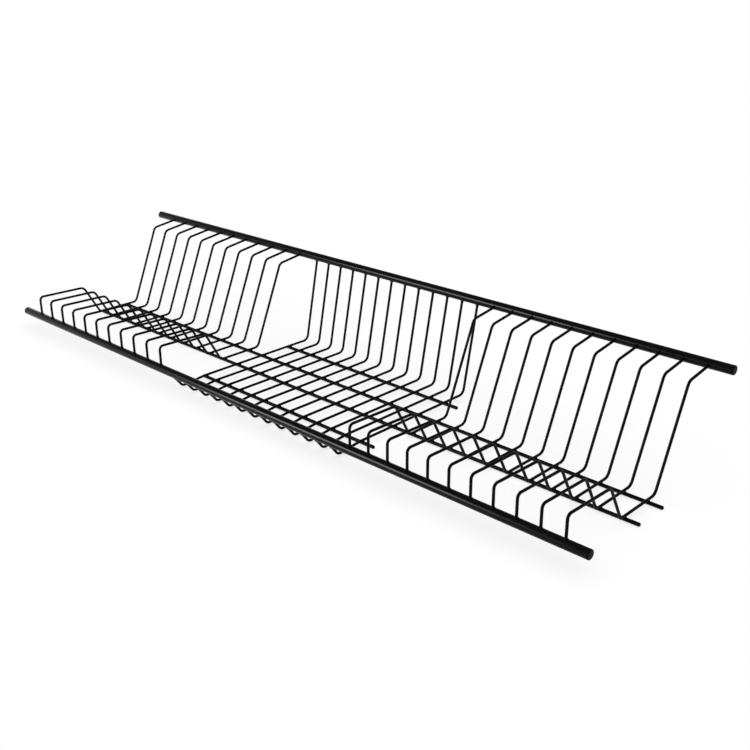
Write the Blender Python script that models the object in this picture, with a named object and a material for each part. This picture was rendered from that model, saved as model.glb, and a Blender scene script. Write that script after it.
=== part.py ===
"""Cabinet dish rack: bent wires welded between a low front rail and a high back rail.

+X runs along the rails, the front faces -Y and +Z is up. The origin lies under the middle of the
rack, level with the undersides of its rods. Plates stand between the wires of the left and right
sections, and cups stand on the flat wires of the middle section. Nothing on the rack moves.

Depths are measured backwards from the front rail's axis and heights upwards from it.
"""
import math

import bmesh
import bpy
from mathutils import Vector

# Sections of wires, along the rails from the left end
LEFT_MARGIN = 0.052
LEFT_COUNT = 11
LEFT_PITCH = 0.035
LEFT_GAP = 0.035
MIDDLE_COUNT = 13
MIDDLE_PITCH = 0.028
RIGHT_GAP = 0.034
RIGHT_COUNT = 11
RIGHT_PITCH = 0.0325
RIGHT_MARGIN = 0.032

# Rails: round tubes, the back one higher
RAIL_DIAMETER = 0.0127
RAIL_WALL = 0.001
RAIL_SPACING = 0.297
RAIL_RISE = 0.120
RAIL_SIDES = 24

# End plugs of the rails
PLUG_HEAD_LENGTH = 0.002
PLUG_SPIGOT_LENGTH = 0.014
PLUG_SPIGOT_CLEARANCE = 0.0003
PLUG_EDGE_RADIUS = 0.0008
PLUG_EDGE_STEPS = 3

# Rods: straight, under the wires that they carry
ROD_DIAMETER = 0.005
ROD_BEVEL_RESOLUTION = 4
LONG_ROD_LEFT_OVERHANG = 0.007
LONG_ROD_RIGHT_OVERHANG = 0.020
MIDDLE_ROD_LEFT_OVERHANG = 0.010
MIDDLE_ROD_RIGHT_OVERHANG = 0.020
FRONT_LONG_ROD_INSET = 0.0105
BACK_LONG_ROD_INSET = 0.014
FRONT_MIDDLE_ROD_INSET = 0.004
BACK_MIDDLE_ROD_INSET = 0.037

# Wires of every section
WIRE_DIAMETER = 0.0038
WIRE_BEVEL_RESOLUTION = 1
SHELF_DROP = 0.0175
BEND_STEPS = 4

# Plate wire: stub from the back rail, descent, valley for the plate's rim, crest, front leg
STUB_REACH = 0.0515
STUB_DROP = 0.007
STUB_BEND_RADIUS = 0.010
VALLEY_SETBACK = 0.113
VALLEY_LENGTH = 0.077
VALLEY_BACK_BEND_RADIUS = 0.010
VALLEY_FRONT_BEND_RADIUS = 0.005
CREST_LEAN = 0.028
CREST_HEIGHT = 0.0335
CREST_BEND_RADIUS = 0.011
CREST_RISE = 0.0025
LEG_BEND_RADIUS = 0.006

# Middle wire: back support, flat shelf, dip behind the front rail, tip rising to its underside
SUPPORT_LEAN = 0.027
SUPPORT_SETBACK = 0.001
SUPPORT_BEND_RADIUS = 0.010
DIP_START = 0.055
DIP_RAMP = 0.038
DIP_DROP = 0.0035
DIP_BEND_RADIUS = 0.025
TIP_RUN = 0.0115
TIP_BEND_RADIUS = 0.008

# Clearance at each weld, and between a rail and its plug's head
SEAT_GAP = 0.0003

# Part of a straight run that one bend may use up: a run between two bends, and one at an end
SHARED_RUN_SHARE = 0.5
END_RUN_SHARE = 0.95

# Points of a turned mesh closer than this share of the clearance are one point
MERGE_SHARE = 0.01

# Edges of a turned mesh that turn further than this are shaded sharp
SHARP_ANGLE = math.radians(40)

# Sizes that follow
RAIL_RADIUS = RAIL_DIAMETER / 2
ROD_RADIUS = ROD_DIAMETER / 2
WIRE_RADIUS = WIRE_DIAMETER / 2
LEFT_WIDTH = (LEFT_COUNT - 1) * LEFT_PITCH
MIDDLE_WIDTH = (MIDDLE_COUNT - 1) * MIDDLE_PITCH
RIGHT_WIDTH = (RIGHT_COUNT - 1) * RIGHT_PITCH
RACK_LENGTH = (LEFT_MARGIN + LEFT_WIDTH + LEFT_GAP + MIDDLE_WIDTH
               + RIGHT_GAP + RIGHT_WIDTH + RIGHT_MARGIN)
RAIL_LENGTH = RACK_LENGTH - 2 * (PLUG_HEAD_LENGTH + SEAT_GAP)

# Places of the sections' first wires along the rack
LEFT_START = LEFT_MARGIN - RACK_LENGTH / 2
MIDDLE_START = LEFT_START + LEFT_WIDTH + LEFT_GAP
RIGHT_START = MIDDLE_START + MIDDLE_WIDTH + RIGHT_GAP

# Heights and depths from the front rail's axis
SHELF_HEIGHT = -SHELF_DROP
ROD_HEIGHT = SHELF_HEIGHT - WIRE_RADIUS - SEAT_GAP - ROD_RADIUS
BASE_HEIGHT = ROD_HEIGHT - ROD_RADIUS
DIP_HEIGHT = SHELF_HEIGHT - DIP_DROP
VALLEY_BACK = VALLEY_SETBACK + VALLEY_LENGTH
SUPPORT_FOOT = RAIL_SPACING - SUPPORT_SETBACK - SUPPORT_LEAN
FRONT_LONG_ROD_DEPTH = VALLEY_SETBACK + FRONT_LONG_ROD_INSET
BACK_LONG_ROD_DEPTH = VALLEY_BACK - BACK_LONG_ROD_INSET
FRONT_MIDDLE_ROD_DEPTH = DIP_START + FRONT_MIDDLE_ROD_INSET
BACK_MIDDLE_ROD_DEPTH = SUPPORT_FOOT - BACK_MIDDLE_ROD_INSET

# The front rail's axis in the rack's own frame
FRONT_RAIL_Y = -RAIL_SPACING / 2
FRONT_RAIL_Z = -BASE_HEIGHT


def place(x, depth, height):
    """A point of the rack's frame, from its depth and height beside the front rail's axis."""
    return Vector((x, FRONT_RAIL_Y + depth, FRONT_RAIL_Z + height))


def finish(name, colour, roughness, metallic):
    """A plain finish as a Principled material."""
    material = bpy.data.materials.new(name)
    material.use_nodes = True
    shader = material.node_tree.nodes["Principled BSDF"]
    shader.inputs["Base Color"].default_value = (*colour, 1)
    shader.inputs["Roughness"].default_value = roughness
    shader.inputs["Metallic"].default_value = metallic
    material.diffuse_color = (*colour, 1)
    return material


def add_object(name, data, location, material):
    """An object of the scene that shows the data, which other objects may share."""
    if not data.materials:
        data.materials.append(material)
    piece = bpy.data.objects.new(name, data)
    piece.location = location
    bpy.context.scene.collection.objects.link(piece)
    return piece


def bent_path(start, bends, end):
    """Points from start to end along straight runs, each corner of bends rounded by its radius."""
    points = [start]
    corners = [corner for corner, radius in bends] + [end]
    for index, (corner, radius) in enumerate(bends):
        back = points[-1] - corner
        ahead = corners[index + 1] - corner
        next_share = END_RUN_SHARE if index == len(bends) - 1 else SHARED_RUN_SHARE
        half_angle = back.angle(ahead) / 2
        reach = min(radius / math.tan(half_angle), END_RUN_SHARE * back.length,
                    next_share * ahead.length)
        arc_start = corner + reach * back.normalized()
        arc_end = corner + reach * ahead.normalized()
        to_centre = (back.normalized() + ahead.normalized()).normalized()
        centre = corner + to_centre * reach / math.cos(half_angle)
        first_spoke = arc_start - centre
        last_spoke = arc_end - centre
        for step in range(BEND_STEPS + 1):
            direction = first_spoke.slerp(last_spoke, step / BEND_STEPS).normalized()
            points.append(centre + direction * first_spoke.length)
    points.append(end)
    return points


def wire_curve(name, points, diameter, bevel_resolution):
    """A round wire along the points, closed at both ends."""
    curve = bpy.data.curves.new(name, "CURVE")
    curve.dimensions = "3D"
    curve.bevel_depth = diameter / 2
    curve.bevel_resolution = bevel_resolution
    curve.use_fill_caps = True
    spline = curve.splines.new("POLY")
    spline.points.add(len(points) - 1)
    for spline_point, point in zip(spline.points, points):
        spline_point.co = (*point, 1)
    return curve


def turned_mesh(name, profile, is_closed):
    """A mesh turned round the X axis from a profile of points (x, radius)."""
    form = bmesh.new()
    verts = [form.verts.new((x, radius, 0)) for x, radius in profile]
    edges = [form.edges.new(pair) for pair in zip(verts, verts[1:])]
    if is_closed:
        edges.append(form.edges.new((verts[-1], verts[0])))
    bmesh.ops.spin(form, geom=verts + edges, cent=(0, 0, 0), axis=(1, 0, 0), angle=math.tau,
                   steps=RAIL_SIDES, use_merge=True, use_duplicate=False)
    bmesh.ops.remove_doubles(form, verts=form.verts, dist=MERGE_SHARE * SEAT_GAP)
    bmesh.ops.recalc_face_normals(form, faces=form.faces)
    mesh = bpy.data.meshes.new(name)
    form.to_mesh(mesh)
    form.free()
    mesh.shade_smooth()
    mesh.set_sharp_from_angle(angle=SHARP_ANGLE)
    return mesh


def rail_mesh():
    """One rail's tube, open at both ends."""
    half_length = RAIL_LENGTH / 2
    bore_radius = RAIL_RADIUS - RAIL_WALL
    profile = [(-half_length, RAIL_RADIUS), (half_length, RAIL_RADIUS),
               (half_length, bore_radius), (-half_length, bore_radius)]
    return turned_mesh("rail", profile, is_closed=True)


def plug_mesh():
    """An end plug: a spigot for the rail's bore and a head with a rounded edge, facing +X."""
    spigot_radius = RAIL_RADIUS - RAIL_WALL - PLUG_SPIGOT_CLEARANCE
    edge_radius = min(PLUG_EDGE_RADIUS, PLUG_HEAD_LENGTH * END_RUN_SHARE)
    edge_x = PLUG_HEAD_LENGTH - edge_radius
    edge_y = RAIL_RADIUS - edge_radius
    profile = [(-PLUG_SPIGOT_LENGTH, 0), (-PLUG_SPIGOT_LENGTH, spigot_radius),
               (0, spigot_radius), (0, RAIL_RADIUS)]
    for step in range(PLUG_EDGE_STEPS + 1):
        turn = math.radians(90) * step / PLUG_EDGE_STEPS
        profile.append((edge_x + edge_radius * math.sin(turn), edge_y + edge_radius * math.cos(turn)))
    profile.append((PLUG_HEAD_LENGTH, 0))
    return turned_mesh("end_plug", profile, is_closed=False)


def plate_wire_curve():
    """A plate wire in the plane x = 0, from the back rail down, up over the crest and to the front."""
    back_rail = place(0, RAIL_SPACING, RAIL_RISE)
    stub_corner = place(0, RAIL_SPACING - STUB_REACH, RAIL_RISE - STUB_DROP)
    stub_direction = (stub_corner - back_rail).normalized()
    bends = [
        (stub_corner, STUB_BEND_RADIUS),
        (place(0, VALLEY_BACK, SHELF_HEIGHT), VALLEY_BACK_BEND_RADIUS),
        (place(0, VALLEY_SETBACK, SHELF_HEIGHT), VALLEY_FRONT_BEND_RADIUS),
        (place(0, VALLEY_SETBACK - CREST_LEAN, CREST_HEIGHT), CREST_BEND_RADIUS),
        (place(0, 0, CREST_HEIGHT + CREST_RISE), LEG_BEND_RADIUS),
    ]
    start = back_rail + stub_direction * (RAIL_RADIUS + SEAT_GAP)
    end = place(0, 0, RAIL_RADIUS + SEAT_GAP)
    points = bent_path(start, bends, end)
    return wire_curve("plate_wire", points, WIRE_DIAMETER, WIRE_BEVEL_RESOLUTION)


def slanted_end(corner):
    """Where a wire from the corner to the front rail's underside stops, its edge near the rail."""
    axis = place(0, 0, 0)
    direction = (place(0, 0, -RAIL_RADIUS) - corner).normalized()
    foot = corner + direction * (axis - corner).dot(direction)
    edge_offset = (foot - axis).length - WIRE_RADIUS
    return foot - direction * math.sqrt((RAIL_RADIUS + SEAT_GAP) ** 2 - edge_offset ** 2)


def middle_wire_curve():
    """A middle wire in the plane x = 0, from under the back rail to under the front rail."""
    tip_corner = place(0, TIP_RUN, DIP_HEIGHT)
    bends = [
        (place(0, SUPPORT_FOOT, SHELF_HEIGHT), SUPPORT_BEND_RADIUS),
        (place(0, DIP_START, SHELF_HEIGHT), DIP_BEND_RADIUS),
        (place(0, DIP_START - DIP_RAMP, DIP_HEIGHT), DIP_BEND_RADIUS),
        (tip_corner, TIP_BEND_RADIUS),
    ]
    start = place(0, RAIL_SPACING - SUPPORT_SETBACK, RAIL_RISE - RAIL_RADIUS - SEAT_GAP)
    points = bent_path(start, bends, slanted_end(tip_corner))
    return wire_curve("middle_wire", points, WIRE_DIAMETER, WIRE_BEVEL_RESOLUTION)


def add_rails(coat, plastic):
    """Both rails, each with a plug in either end."""
    tube = rail_mesh()
    plug = plug_mesh()
    plug_x = RAIL_LENGTH / 2 + SEAT_GAP
    for side, depth, height in (("front", 0, 0), ("back", RAIL_SPACING, RAIL_RISE)):
        add_object(f"{side}_rail", tube, place(0, depth, height), coat)
        add_object(f"{side}_right_end_plug", plug, place(plug_x, depth, height), plastic)
        left_plug = add_object(f"{side}_left_end_plug", plug, place(-plug_x, depth, height), plastic)
        left_plug.rotation_euler.z = math.pi


def add_rod(name, start_x, end_x, depth, coat):
    """A straight rod under the wires, from start_x to end_x."""
    points = [Vector((0, 0, 0)), Vector((end_x - start_x, 0, 0))]
    curve = wire_curve(name, points, ROD_DIAMETER, ROD_BEVEL_RESOLUTION)
    add_object(name, curve, place(start_x, depth, ROD_HEIGHT), coat)


def add_rods(coat):
    """The two long rods under every wire, and the two short ones under the middle section."""
    long_start = LEFT_START - LONG_ROD_LEFT_OVERHANG
    long_end = RIGHT_START + RIGHT_WIDTH + LONG_ROD_RIGHT_OVERHANG
    middle_start = MIDDLE_START - MIDDLE_ROD_LEFT_OVERHANG
    middle_end = MIDDLE_START + MIDDLE_WIDTH + MIDDLE_ROD_RIGHT_OVERHANG
    add_rod("front_long_rod", long_start, long_end, FRONT_LONG_ROD_DEPTH, coat)
    add_rod("back_long_rod", long_start, long_end, BACK_LONG_ROD_DEPTH, coat)
    add_rod("front_middle_rod", middle_start, middle_end, FRONT_MIDDLE_ROD_DEPTH, coat)
    add_rod("back_middle_rod", middle_start, middle_end, BACK_MIDDLE_ROD_DEPTH, coat)


def add_wires(name, curve, start_x, pitch, count, coat):
    """A section's wires, which share one curve."""
    for index in range(count):
        add_object(f"{name}_{index + 1:02d}", curve, (start_x + index * pitch, 0, 0), coat)


def main():
    for old in list(bpy.data.objects):
        bpy.data.objects.remove(old, do_unlink=True)
    rail_coat = finish("rail_coat", colour=(0.012, 0.012, 0.013), roughness=0.34, metallic=0)
    wire_coat = finish("wire_coat", colour=(0.008, 0.008, 0.009), roughness=0.40, metallic=0)
    plug_plastic = finish("plug_plastic", colour=(0.010, 0.010, 0.011), roughness=0.55, metallic=0)
    add_rails(rail_coat, plug_plastic)
    add_rods(wire_coat)
    plate_wire = plate_wire_curve()
    add_wires("left_plate_wire", plate_wire, LEFT_START, LEFT_PITCH, LEFT_COUNT, wire_coat)
    add_wires("middle_wire", middle_wire_curve(), MIDDLE_START, MIDDLE_PITCH, MIDDLE_COUNT, wire_coat)
    add_wires("right_plate_wire", plate_wire, RIGHT_START, RIGHT_PITCH, RIGHT_COUNT, wire_coat)


main()
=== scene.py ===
"""Looks of the cabinet dish rack: round coated wires, welds, rails and plugs, in a white studio.

Every piece stands where the frame's node stands. Depths are measured backwards from the front
rail's axis and heights upwards from it, in metres.
"""

import math

import bmesh
import bpy
from mathutils import Matrix, Vector


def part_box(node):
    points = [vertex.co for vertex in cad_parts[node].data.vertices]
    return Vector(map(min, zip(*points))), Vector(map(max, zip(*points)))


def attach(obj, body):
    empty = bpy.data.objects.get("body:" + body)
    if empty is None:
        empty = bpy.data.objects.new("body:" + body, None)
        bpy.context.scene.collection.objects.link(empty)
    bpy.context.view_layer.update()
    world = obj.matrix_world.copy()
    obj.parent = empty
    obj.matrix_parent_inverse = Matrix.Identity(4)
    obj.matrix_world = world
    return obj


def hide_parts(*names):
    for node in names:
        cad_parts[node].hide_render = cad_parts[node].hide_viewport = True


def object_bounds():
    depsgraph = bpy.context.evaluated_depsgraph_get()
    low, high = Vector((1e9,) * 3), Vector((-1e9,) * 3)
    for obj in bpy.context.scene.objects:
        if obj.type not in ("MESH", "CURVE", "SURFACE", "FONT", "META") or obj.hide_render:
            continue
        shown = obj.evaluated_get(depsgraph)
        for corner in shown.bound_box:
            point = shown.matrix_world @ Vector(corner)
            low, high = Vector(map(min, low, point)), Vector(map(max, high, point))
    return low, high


# Camera, matched to the photograph
PHOTO_WIDTH_PIXELS = 750
FOCAL_LENGTH_PIXELS = 1025.8
SENSOR_WIDTH_MM = 36
CLIP_START = 0.01
CAMERA_PLACE = (1.0554, -0.9686, 0.6096)
CAMERA_AZIMUTH = math.radians(43.772)
CAMERA_ELEVATION = math.radians(22.433)
CAMERA_ROLL = math.radians(-0.278)

# How the wires' names in the frame begin, and the rods' names
WIRE_SECTIONS = ("left_plate_wire", "middle_wire", "right_plate_wire")
RODS = ("front_long_rod", "back_long_rod", "front_middle_rod", "back_middle_rod")

# Plate wire: stub from the back rail, descent, valley for the plate's rim, crest, front leg
STUB_REACH = 0.0515
STUB_DROP = 0.007
STUB_BEND_RADIUS = 0.010
VALLEY_SETBACK = 0.113
VALLEY_LENGTH = 0.077
VALLEY_BACK_BEND_RADIUS = 0.010
VALLEY_FRONT_BEND_RADIUS = 0.005
CREST_LEAN = 0.028
CREST_HEIGHT = 0.0335
CREST_BEND_RADIUS = 0.011
CREST_RISE = 0.0025
LEG_BEND_RADIUS = 0.006

# Middle wire: back support, flat shelf, dip behind the front rail, tip rising to its underside
SUPPORT_LEAN = 0.027
SUPPORT_SETBACK = 0.001
SUPPORT_BEND_RADIUS = 0.010
DIP_START = 0.055
DIP_RAMP = 0.038
DIP_DROP = 0.0035
DIP_BEND_RADIUS = 0.025
TIP_RUN = 0.0115
TIP_BEND_RADIUS = 0.008
TIP_SINK = 0.003

# Bends: the fineness of their arcs, and the most of a straight run that one may take up
BEND_STEP_ANGLE = math.radians(4)
LEAST_BEND_STEPS = 2
SHARED_RUN_SHARE = 0.5
END_RUN_SHARE = 0.95

# Wires and rods
WIRE_RADIUS = 0.0019
WIRE_SIDES = 20
ROD_SIDES = 32
SEAT_GAP = 0.0003
CUT_EDGE_RADIUS = 0.0015
CUT_EDGE_STEPS = 5

# Weld that spreads the end of a wire where it meets a rail
FLARE_LENGTH = 0.0022
FLARE_WIDTH = 0.0011
FLARE_SINK = 0.0009
FLARE_STEPS = 7

# Weld round the tip of a middle wire, which enters the rail at a slant
LAP_WIDTH = 0.0005
LAP_STEPS = 10

# Weld between a wire and the rod under it
BEAD_RADIUS = 0.0024
BEAD_WAIST = 0.0005
BEAD_SINK = 0.0002
BEAD_REACH_SHARE = 0.96
BEAD_SIDES = 28
BEAD_STEPS = 6

# Rails and plugs
RAIL_SIDES = 72
RAIL_EDGE_RADIUS = 0.0003
RAIL_EDGE_STEPS = 4
PLUG_SEAM = 0.00012
PLUG_HEAD_LENGTH = 0.002
PLUG_EDGE_RADIUS = 0.0014
PLUG_EDGE_STEPS = 7
PLUG_CROWN = 0.00025
PLUG_CROWN_STEPS = 6

# Edges that bend more than this stay sharp when a form is shaded smooth
SHARP_ANGLE = math.radians(50)

# Powder coats, with the width and the depth of their orange peel
RAIL_COAT = dict(colour=(0.0040, 0.0040, 0.0042), specular_level=0.10, roughness=0.24,
                 peel_width=0.0011, peel_depth=0.00003)
WIRE_COAT = dict(colour=(0.0020, 0.0020, 0.0021), specular_level=0.05, roughness=0.38,
                 peel_width=0.0008, peel_depth=0.00002)
PEEL_DETAIL = 2
PEEL_FINE_SHARE = 0.4

# Clouds that vary the tone and the gloss of a coat along the metal
CLOUDS_PER_METRE = 38
CLOUD_DETAIL = 3
CLOUD_LOW = 0.3
CLOUD_HIGH = 0.7
ROUGHNESS_SWING = 0.05
DARK_TONE_SHARE = 0.82
PALE_TONE_SHARE = 1.18

# Moulded plastic of the plugs
PLUG_COLOUR = (0.0035, 0.0035, 0.0037)
PLUG_SPECULAR_LEVEL = 0.08
PLUG_LEAST_ROUGHNESS = 0.46
PLUG_MOST_ROUGHNESS = 0.62
GRAINS_PER_METRE = 3200
GRAIN_STRENGTH = 0.6
GRAIN_DEPTH = 0.00003

# Studio: a round white cove, open at the top, whose wall darkens upwards to the tone of the air
COVE_RADIUS = 9.0
COVE_FLAT_RADIUS = 3.0
COVE_CORNER_RADIUS = 1.5
COVE_CORNER_STEPS = 16
COVE_HEIGHT = 4.5
COVE_SIDES = 96
COVE_MERGE_DISTANCE = 0.0001
FLOOR_GAP = 0.0002
PAPER_RADIUS = 1.1
GLOW_RADIUS = 2.4
PAPER_GLOW = 0.70
PAPER_TONE = 0.29
WALL_WHITE_HEIGHT = 2.4
WALL_DARK_HEIGHT = 4.4
AIR_TONE = 0.12

# Lamps
OVERHEAD_PLACE = (0.2, -1.3, 2.3)
OVERHEAD_ENERGY = 3.9
OVERHEAD_ANGLE = math.radians(165)
STRIP_TARGET = (-1.05, -0.15, 0.03)
STRIP_LENGTH = 1.5
STRIP_PLACE = (-1.05, -1.6, 0.66)
STRIP_WIDTH = 0.6
STRIP_ENERGY = 49
LOW_STRIP_PLACE = (-1.05, -1.6, 0.27)
LOW_STRIP_WIDTH = 0.4
LOW_STRIP_ENERGY = 20


def new_material(name):
    """A new material and its node tree."""
    material = bpy.data.materials.new(name)
    material.use_nodes = True
    return material, material.node_tree


def fill(tree, node, sockets):
    """Gives a node's sockets their numbers and colours, or the outputs of other nodes."""
    for socket, value in sockets.items():
        if isinstance(value, bpy.types.NodeSocket):
            tree.links.new(value, node.inputs[socket])
        else:
            node.inputs[socket].default_value = value


def output_of(tree, kind, output, sockets, **settings):
    """An output of a new node of a kind, with its settings made and its sockets filled."""
    node = tree.nodes.new(kind)
    for setting, value in settings.items():
        setattr(node, setting, value)
    fill(tree, node, sockets)
    return node.outputs[output]


def coated_metal(name, colour, specular_level, roughness, peel_width, peel_depth):
    """Black powder coat: a fine orange peel, and a gloss that varies a little along the metal."""
    material, tree = new_material(name)
    place = output_of(tree, "ShaderNodeTexCoord", "Object", {})
    cloud = output_of(tree, "ShaderNodeTexNoise", "Fac", {
        "Vector": place,
        "Scale": CLOUDS_PER_METRE,
        "Detail": CLOUD_DETAIL,
    })
    tone = output_of(tree, "ShaderNodeMix", "Result", {
        "Factor": cloud,
        "A": (*(DARK_TONE_SHARE * channel for channel in colour), 1),
        "B": (*(PALE_TONE_SHARE * channel for channel in colour), 1),
    }, data_type="RGBA")
    gloss = output_of(tree, "ShaderNodeMapRange", "Result", {
        "Value": cloud,
        "From Min": CLOUD_LOW,
        "From Max": CLOUD_HIGH,
        "To Min": roughness - ROUGHNESS_SWING,
        "To Max": roughness + ROUGHNESS_SWING,
    })
    peel = output_of(tree, "ShaderNodeTexNoise", "Fac", {
        "Vector": place,
        "Scale": 1 / peel_width,
        "Detail": PEEL_DETAIL,
        "Roughness": PEEL_FINE_SHARE,
    })
    bump = output_of(tree, "ShaderNodeBump", "Normal", {"Height": peel, "Distance": peel_depth})
    fill(tree, tree.nodes["Principled BSDF"], {
        "Base Color": tone,
        "Specular IOR Level": specular_level,
        "Roughness": gloss,
        "Normal": bump,
    })
    return material


def moulded_plastic():
    """Matte black plastic of the plugs, with the fine grain of its mould."""
    material, tree = new_material("plug_plastic_look")
    place = output_of(tree, "ShaderNodeTexCoord", "Object", {})
    grain = output_of(tree, "ShaderNodeTexVoronoi", "Distance", {
        "Vector": place,
        "Scale": GRAINS_PER_METRE,
    })
    gloss = output_of(tree, "ShaderNodeMapRange", "Result", {
        "Value": grain,
        "To Min": PLUG_LEAST_ROUGHNESS,
        "To Max": PLUG_MOST_ROUGHNESS,
    })
    bump = output_of(tree, "ShaderNodeBump", "Normal", {
        "Height": grain,
        "Strength": GRAIN_STRENGTH,
        "Distance": GRAIN_DEPTH,
    })
    fill(tree, tree.nodes["Principled BSDF"], {
        "Base Color": (*PLUG_COLOUR, 1),
        "Specular IOR Level": PLUG_SPECULAR_LEVEL,
        "Roughness": gloss,
        "Normal": bump,
    })
    return material


def smooth_object(form, name, material):
    """An object of a material, shaded smooth, from a bmesh."""
    mesh = bpy.data.meshes.new(name)
    form.to_mesh(mesh)
    form.free()
    mesh.shade_smooth()
    mesh.materials.append(material)
    smooth = bpy.data.objects.new(name, mesh)
    bpy.context.scene.collection.objects.link(smooth)
    return smooth


def add_piece(form, name, material, slot, *nodes):
    """A piece of the rack from a bmesh, which stands for the frame's nodes, if any are given."""
    bmesh.ops.recalc_face_normals(form, faces=form.faces)
    piece = smooth_object(form, name, material)
    piece.data.set_sharp_from_angle(angle=SHARP_ANGLE)
    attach(piece, "root")
    if nodes:
        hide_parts(*nodes)


def join_loops(form, loops):
    """The faces between each loop of vertices and the next."""
    for first, second in zip(loops, loops[1:]):
        for side in range(len(first)):
            other = (side + 1) % len(first)
            form.faces.new((first[side], first[other], second[other], second[side]))


def close_ends(form, loops):
    """A flat face over the first loop, and one over the last."""
    form.faces.new(loops[0])
    form.faces.new(reversed(loops[-1]))


def rounded_corner(radius, steps):
    """Points of a rounded corner, from its first face to its second, as distances from both."""
    turns = [math.radians(90) * step / steps for step in range(steps + 1)]
    return [(radius * (1 - math.cos(turn)), radius * (1 - math.sin(turn))) for turn in turns]


def bent_path(start, bends, end):
    """Points from start to end along straight runs, each corner of bends rounded by its radius."""
    points = [start]
    corners = [corner for corner, radius in bends] + [end]
    for index, (corner, radius) in enumerate(bends):
        back = points[-1] - corner
        ahead = corners[index + 1] - corner
        next_share = END_RUN_SHARE if index == len(bends) - 1 else SHARED_RUN_SHARE
        half_angle = back.angle(ahead) / 2
        reach = min(radius / math.tan(half_angle), END_RUN_SHARE * back.length,
                    next_share * ahead.length)
        arc_start = corner + reach * back.normalized()
        arc_end = corner + reach * ahead.normalized()
        to_centre = (back.normalized() + ahead.normalized()).normalized()
        centre = corner + to_centre * reach / math.cos(half_angle)
        first_spoke = arc_start - centre
        last_spoke = arc_end - centre
        arc_angle = first_spoke.angle(last_spoke)
        steps = max(LEAST_BEND_STEPS, round(arc_angle / BEND_STEP_ANGLE))
        for step in range(steps + 1):
            direction = first_spoke.slerp(last_spoke, step / steps).normalized()
            points.append(centre + direction * first_spoke.length)
    points.append(end)
    return points


def add_sweep(form, rings, side_axis, sides):
    """A closed round bar through rings of (centre, radius), whose path is square to side_axis."""
    loops = []
    for index, (centre, radius) in enumerate(rings):
        before = rings[max(index - 1, 0)][0]
        after = rings[min(index + 1, len(rings) - 1)][0]
        across = (after - before).normalized().cross(side_axis)
        loop = []
        for side in range(sides):
            turn = math.tau * side / sides
            spoke = math.cos(turn) * side_axis + math.sin(turn) * across
            loop.append(form.verts.new(centre + radius * spoke))
        loops.append(loop)
    join_loops(form, loops)
    close_ends(form, loops)


def cut_end(point, inward, radius):
    """Rings of a cut end with a rounded edge, from its flat face inwards."""
    edge = rounded_corner(CUT_EDGE_RADIUS, CUT_EDGE_STEPS)
    return [(point + inward * depth, radius - narrowing) for depth, narrowing in edge]


def flared_end(point, inward):
    """Rings of a wire's end that a weld spreads over a rail, from inside the rail outwards."""
    rings = [(point - inward * FLARE_SINK, WIRE_RADIUS + FLARE_WIDTH)]
    for step in range(FLARE_STEPS + 1):
        share = step / FLARE_STEPS
        rings.append((point + inward * FLARE_LENGTH * share,
                      WIRE_RADIUS + FLARE_WIDTH * (1 - share) ** 3))
    return rings


def slanted_end(point, inward):
    """Rings of a wire's tip inside a rail, which the weld thickens where it enters."""
    rings = []
    for step in range(LAP_STEPS + 1):
        share = step / LAP_STEPS
        depth = (TIP_SINK + FLARE_LENGTH) * share
        rings.append((point + inward * depth,
                      WIRE_RADIUS + LAP_WIDTH * math.sin(math.pi * share) ** 2))
    return rings


def add_wire(form, points, front_end):
    """A wire along the points, welded to a rail at both ends; front_end shapes the last one."""
    start_inward = (points[1] - points[0]).normalized()
    end_inward = (points[-2] - points[-1]).normalized()
    rings = flared_end(points[0], start_inward)
    rings += [(point, WIRE_RADIUS) for point in points[1:-1]]
    rings += reversed(front_end(points[-1], end_inward))
    add_sweep(form, rings, Vector((1, 0, 0)), WIRE_SIDES)


def add_bead(form, contact, rod_radius):
    """The weld round the contact of a wire that runs backwards over a rod."""
    wire_centre = contact.z + WIRE_RADIUS
    rod_centre = contact.z - SEAT_GAP - rod_radius
    loops = []
    for step in range(BEAD_STEPS + 1):
        share = step / BEAD_STEPS
        radius = BEAD_RADIUS - BEAD_WAIST * math.sin(math.pi * share)
        loop = []
        for side in range(BEAD_SIDES):
            turn = math.tau * side / BEAD_SIDES
            along_rod = radius * math.cos(turn)
            along_wire = radius * math.sin(turn)
            wire_offset = min(abs(along_rod), BEAD_REACH_SHARE * WIRE_RADIUS)
            rod_offset = min(abs(along_wire), BEAD_REACH_SHARE * rod_radius)
            high = wire_centre - math.sqrt(WIRE_RADIUS ** 2 - wire_offset ** 2) + BEAD_SINK
            low = rod_centre + math.sqrt(rod_radius ** 2 - rod_offset ** 2) - BEAD_SINK
            squeezed = math.copysign(wire_offset, along_rod) * share + along_rod * (1 - share)
            height = low + (high - low) * share
            loop.append(form.verts.new((contact.x + squeezed, contact.y + along_wire, height)))
        loops.append(loop)
    join_loops(form, loops)
    close_ends(form, loops)


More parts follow.
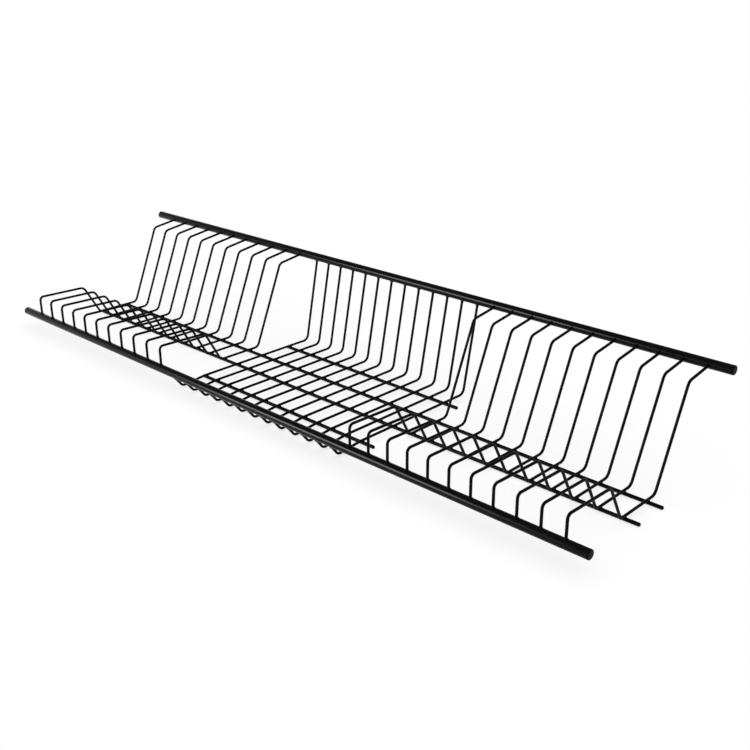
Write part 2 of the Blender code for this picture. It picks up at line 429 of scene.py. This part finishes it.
class Rack:
    """Places of the rack's rails, rods and wires, read from the frame's nodes."""

    def __init__(self, nodes):
        self.nodes = nodes
        low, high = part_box("front_rail")
        self.front_axis = (low + high) / 2
        self.rail_radius = (high.z - low.z) / 2
        self.rail_half_length = high.x
        low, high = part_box("back_rail")
        self.back_axis = (low + high) / 2
        self.spacing = self.back_axis.y - self.front_axis.y
        self.rise = self.back_axis.z - self.front_axis.z
        rod_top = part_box("front_long_rod")[1].z
        self.shelf_height = rod_top - self.front_axis.z + SEAT_GAP + WIRE_RADIUS

    def place(self, x, depth, height):
        """A point of the frame, from its depth and height beside the front rail's axis."""
        return Vector((x, self.front_axis.y + depth, self.front_axis.z + height))

    def wires(self, section):
        """Names of a section's wires, and where each stands along the rack."""
        names = sorted(name for name in self.nodes if name.startswith(section))
        return [(name, sum(corner.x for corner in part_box(name)) / 2) for name in names]

    def plate_wire(self, x):
        """A plate wire's centre line, from the back rail down, over the crest and to the front."""
        back_rail = self.place(x, self.spacing, self.rise)
        stub_corner = self.place(x, self.spacing - STUB_REACH, self.rise - STUB_DROP)
        stub_direction = (stub_corner - back_rail).normalized()
        valley_back = self.place(x, VALLEY_SETBACK + VALLEY_LENGTH, self.shelf_height)
        valley_front = self.place(x, VALLEY_SETBACK, self.shelf_height)
        crest = self.place(x, VALLEY_SETBACK - CREST_LEAN, CREST_HEIGHT)
        leg_top = self.place(x, 0, CREST_HEIGHT + CREST_RISE)
        bends = [
            (stub_corner, STUB_BEND_RADIUS),
            (valley_back, VALLEY_BACK_BEND_RADIUS),
            (valley_front, VALLEY_FRONT_BEND_RADIUS),
            (crest, CREST_BEND_RADIUS),
            (leg_top, LEG_BEND_RADIUS),
        ]
        start = back_rail + stub_direction * self.rail_radius
        return bent_path(start, bends, self.place(x, 0, self.rail_radius))

    def middle_wire(self, x):
        """A middle wire's centre line, from under the back rail into the front rail's underside."""
        top_depth = self.spacing - SUPPORT_SETBACK
        dip_height = self.shelf_height - DIP_DROP
        shelf_back = self.place(x, top_depth - SUPPORT_LEAN, self.shelf_height)
        shelf_front = self.place(x, DIP_START, self.shelf_height)
        dip = self.place(x, DIP_START - DIP_RAMP, dip_height)
        tip_corner = self.place(x, TIP_RUN, dip_height)
        bends = [
            (shelf_back, SUPPORT_BEND_RADIUS),
            (shelf_front, DIP_BEND_RADIUS),
            (dip, DIP_BEND_RADIUS),
            (tip_corner, TIP_BEND_RADIUS),
        ]
        start = self.place(x, top_depth, self.rise - self.rail_radius)
        underside = self.place(x, 0, -self.rail_radius)
        end = underside + (underside - tip_corner).normalized() * TIP_SINK
        return bent_path(start, bends, end)


def add_wires(rack, coat):
    """Every wire of the three sections."""
    for section in WIRE_SECTIONS:
        is_middle = section == "middle_wire"
        centre_line = rack.middle_wire if is_middle else rack.plate_wire
        front_end = slanted_end if is_middle else flared_end
        for name, x in rack.wires(section):
            form = bmesh.new()
            add_wire(form, centre_line(x), front_end)
            add_piece(form, f"{name}_coated", coat, "wire_coat", name)


def add_rods(rack, coat):
    """The four rods with their cut ends, and the welds that hold wires on each."""
    for name in RODS:
        low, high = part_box(name)
        centre = (low + high) / 2
        radius = (high.y - low.y) / 2
        start = Vector((low.x, centre.y, centre.z))
        end = Vector((high.x, centre.y, centre.z))
        rings = cut_end(start, Vector((1, 0, 0)), radius)
        rings += reversed(cut_end(end, Vector((-1, 0, 0)), radius))
        form = bmesh.new()
        add_sweep(form, rings, Vector((0, 0, 1)), ROD_SIDES)
        add_piece(form, f"{name}_coated", coat, "wire_coat", name)

        welds = bmesh.new()
        for section in WIRE_SECTIONS:
            for _, x in rack.wires(section):
                if low.x < x < high.x:
                    add_bead(welds, Vector((x, centre.y, high.z + SEAT_GAP)), radius)
        add_piece(welds, f"{name}_welds", coat, "wire_coat")


def turned_loops(form, profile, centre, direction):
    """Loops of a skin turned round an X axis through centre, from a profile of (x, radius)."""
    loops = []
    for x, radius in profile:
        loop = []
        for side in range(RAIL_SIDES):
            turn = math.tau * side / RAIL_SIDES
            spoke = Vector((direction * x, radius * math.cos(turn), radius * math.sin(turn)))
            loop.append(form.verts.new(centre + spoke))
        loops.append(loop)
    join_loops(form, loops)
    return loops


def add_rails(rack, coat, plastic):
    """Both rails and the plugs that close them."""
    right_half = [(0, rack.rail_radius)]
    for below_end, below_side in reversed(rounded_corner(RAIL_EDGE_RADIUS, RAIL_EDGE_STEPS)):
        right_half.append((rack.rail_half_length - below_end, rack.rail_radius - below_side))
    profile = [(-x, radius) for x, radius in reversed(right_half)] + right_half[1:]
    for side, axis in (("front", rack.front_axis), ("back", rack.back_axis)):
        form = bmesh.new()
        close_ends(form, turned_loops(form, profile, axis, 1))
        add_piece(form, f"{side}_rail_coated", coat, "rail_coat", f"{side}_rail")
        for end, direction in (("left", -1), ("right", 1)):
            add_plug(f"{side}_{end}_end_plug", axis, direction, rack.rail_radius, plastic)


def add_plug(node, axis, direction, radius, plastic):
    """The head of an end plug: a rounded edge and a face that is crowned very slightly."""
    low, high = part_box(node)
    outer_x = max(abs(low.x), abs(high.x))
    back_x = outer_x - PLUG_HEAD_LENGTH + PLUG_SEAM
    profile = [(back_x, radius - PLUG_SEAM), (back_x + PLUG_SEAM, radius)]
    for below_face, below_side in reversed(rounded_corner(PLUG_EDGE_RADIUS, PLUG_EDGE_STEPS)):
        profile.append((outer_x - PLUG_CROWN - below_face, radius - below_side))
    face_radius = radius - PLUG_EDGE_RADIUS
    for step in range(1, PLUG_CROWN_STEPS):
        share = step / PLUG_CROWN_STEPS
        profile.append((outer_x - PLUG_CROWN * (1 - share) ** 2, face_radius * (1 - share)))
    form = bmesh.new()
    centre = Vector((0, axis.y, axis.z))
    loops = turned_loops(form, profile, centre, direction)
    form.faces.new(loops[0])
    tip = form.verts.new(centre + Vector((direction * outer_x, 0, 0)))
    last = loops[-1]
    for side in range(RAIL_SIDES):
        form.faces.new((last[side], last[(side + 1) % RAIL_SIDES], tip))
    add_piece(form, f"{node}_moulded", plastic, "plug_plastic", node)


def grey(tone):
    """A colour of equal channels."""
    return (tone, tone, tone, 1)


def computed(tree, operation, first, second):
    """Output of a Math node on two values, such as their product."""
    return output_of(tree, "ShaderNodeMath", "Value", {0: first, 1: second}, operation=operation)


def smooth_step(tree, value, start, end, start_level, end_level):
    """Output of a smooth change from one level to another as a value runs from start to end."""
    return output_of(tree, "ShaderNodeMapRange", "Result", {
        "Value": value,
        "From Min": start,
        "From Max": end,
        "To Min": start_level,
        "To Max": end_level,
    }, interpolation_type="SMOOTHSTEP")


def studio_white():
    """White of the cove: paper under the rack, which takes its shadow and glows faintly, and
    further out a full glow, which fades up the wall to the tone of the air. The glows show to
    camera, glossy and transmission rays alone, so they lay no diffuse light on the rack."""
    material, tree = new_material("studio_white")
    tree.nodes.remove(tree.nodes["Principled BSDF"])
    rays = tree.nodes.new("ShaderNodeLightPath").outputs
    seen = computed(tree, "MAXIMUM", rays["Is Camera Ray"], rays["Is Glossy Ray"])
    shown = computed(tree, "MAXIMUM", seen, rays["Is Transmission Ray"])

    place = output_of(tree, "ShaderNodeTexCoord", "Object", {})
    height = output_of(tree, "ShaderNodeSeparateXYZ", "Z", {"Vector": place})
    level = smooth_step(tree, height, WALL_WHITE_HEIGHT, WALL_DARK_HEIGHT, 1, AIR_TONE)
    glow = output_of(tree, "ShaderNodeEmission", "Emission", {
        "Strength": computed(tree, "MULTIPLY", shown, level),
    })

    paper_glow = output_of(tree, "ShaderNodeEmission", "Emission", {
        "Strength": computed(tree, "MULTIPLY", shown, PAPER_GLOW),
    })
    paper = output_of(tree, "ShaderNodeBsdfDiffuse", "BSDF", {"Color": grey(PAPER_TONE)})
    lit_paper = output_of(tree, "ShaderNodeAddShader", "Shader", {0: paper_glow, 1: paper})

    distance = output_of(tree, "ShaderNodeVectorMath", "Value", {0: place}, operation="LENGTH")
    far = smooth_step(tree, distance, PAPER_RADIUS, GLOW_RADIUS, 0, 1)
    surface = output_of(tree, "ShaderNodeMixShader", "Shader", {0: far, 1: lit_paper, 2: glow})
    fill(tree, tree.nodes["Material Output"], {"Surface": surface})
    return material


def add_cove(floor_height):
    """A round floor that curves up into a wall all round the rack."""
    profile = [(0, floor_height), (COVE_FLAT_RADIUS, floor_height)]
    for above_floor, from_wall in rounded_corner(COVE_CORNER_RADIUS, COVE_CORNER_STEPS):
        profile.append((COVE_RADIUS - from_wall, floor_height + above_floor))
    profile.append((COVE_RADIUS, floor_height + COVE_HEIGHT))
    form = bmesh.new()
    verts = [form.verts.new((x, 0, z)) for x, z in profile]
    edges = [form.edges.new(pair) for pair in zip(verts, verts[1:])]
    bmesh.ops.spin(form, geom=verts + edges, cent=(0, 0, 0), axis=(0, 0, 1), angle=math.tau,
                   steps=COVE_SIDES, use_merge=True, use_duplicate=False)
    bmesh.ops.remove_doubles(form, verts=form.verts, dist=COVE_MERGE_DISTANCE)
    smooth_object(form, "cove", studio_white())


def add_lamp(name, kind, energy, place, target):
    """A lamp at a place, facing a target."""
    light = bpy.data.lights.new(name, kind)
    light.energy = energy
    lamp = bpy.data.objects.new(name, light)
    lamp.location = place
    lamp.rotation_euler = (Vector(target) - Vector(place)).to_track_quat("-Z", "Y").to_euler()
    bpy.context.scene.collection.objects.link(lamp)
    return lamp


def add_strip(name, place, width, energy):
    """A long lamp in front of the rack, which shows only as a line of gloss on the metal."""
    strip = add_lamp(name, "AREA", energy, place, STRIP_TARGET)
    strip.data.shape = "RECTANGLE"
    strip.data.size = STRIP_LENGTH
    strip.data.size_y = width
    strip.visible_camera = False
    strip.visible_diffuse = False


def add_lights():
    """A very broad soft light from overhead, a bright strip over a dim one, and the dim air."""
    overhead = add_lamp("overhead", "SUN", OVERHEAD_ENERGY, OVERHEAD_PLACE, (0, 0, 0))
    overhead.data.angle = OVERHEAD_ANGLE
    overhead.visible_glossy = False
    add_strip("strip", STRIP_PLACE, STRIP_WIDTH, STRIP_ENERGY)
    add_strip("low_strip", LOW_STRIP_PLACE, LOW_STRIP_WIDTH, LOW_STRIP_ENERGY)

    world = bpy.data.worlds.new("studio_air")
    world.use_nodes = True
    world.node_tree.nodes["Background"].inputs["Color"].default_value = grey(AIR_TONE)
    bpy.context.scene.world = world


def add_camera():
    """The camera at the photograph's viewpoint."""
    azimuth, elevation, roll = CAMERA_AZIMUTH, CAMERA_ELEVATION, CAMERA_ROLL
    back = Vector((math.sin(azimuth) * math.cos(elevation),
                   -math.cos(azimuth) * math.cos(elevation), math.sin(elevation)))
    right = Vector((math.cos(azimuth), math.sin(azimuth), 0))
    up = back.cross(right)
    rolled_right = math.cos(roll) * right + math.sin(roll) * up
    rolled_up = math.cos(roll) * up - math.sin(roll) * right
    lens = bpy.data.cameras.new("camera")
    lens.sensor_width = SENSOR_WIDTH_MM
    lens.lens = SENSOR_WIDTH_MM * FOCAL_LENGTH_PIXELS / PHOTO_WIDTH_PIXELS
    lens.clip_start = CLIP_START
    camera = bpy.data.objects.new("camera", lens)
    turn = Matrix((rolled_right, rolled_up, back)).transposed().to_4x4()
    camera.matrix_world = Matrix.Translation(CAMERA_PLACE) @ turn
    bpy.context.scene.collection.objects.link(camera)
    bpy.context.scene.camera = camera


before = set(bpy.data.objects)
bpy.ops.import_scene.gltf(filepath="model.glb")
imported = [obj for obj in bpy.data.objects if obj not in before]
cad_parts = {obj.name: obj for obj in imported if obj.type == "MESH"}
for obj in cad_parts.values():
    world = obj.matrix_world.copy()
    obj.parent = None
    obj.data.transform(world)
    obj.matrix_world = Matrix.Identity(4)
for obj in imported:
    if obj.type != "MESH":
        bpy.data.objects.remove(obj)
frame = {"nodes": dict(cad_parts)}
cad_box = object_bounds()
bpy.context.scene.view_settings.view_transform = "Standard"
add_camera()
rack = Rack(frame["nodes"])
rail_coat = coated_metal("rail_coat_look", **RAIL_COAT)
wire_coat = coated_metal("wire_coat_look", **WIRE_COAT)
add_rails(rack, rail_coat, moulded_plastic())
add_rods(rack, wire_coat)
add_wires(rack, wire_coat)
add_cove(cad_box[0].z - FLOOR_GAP)
add_lights()
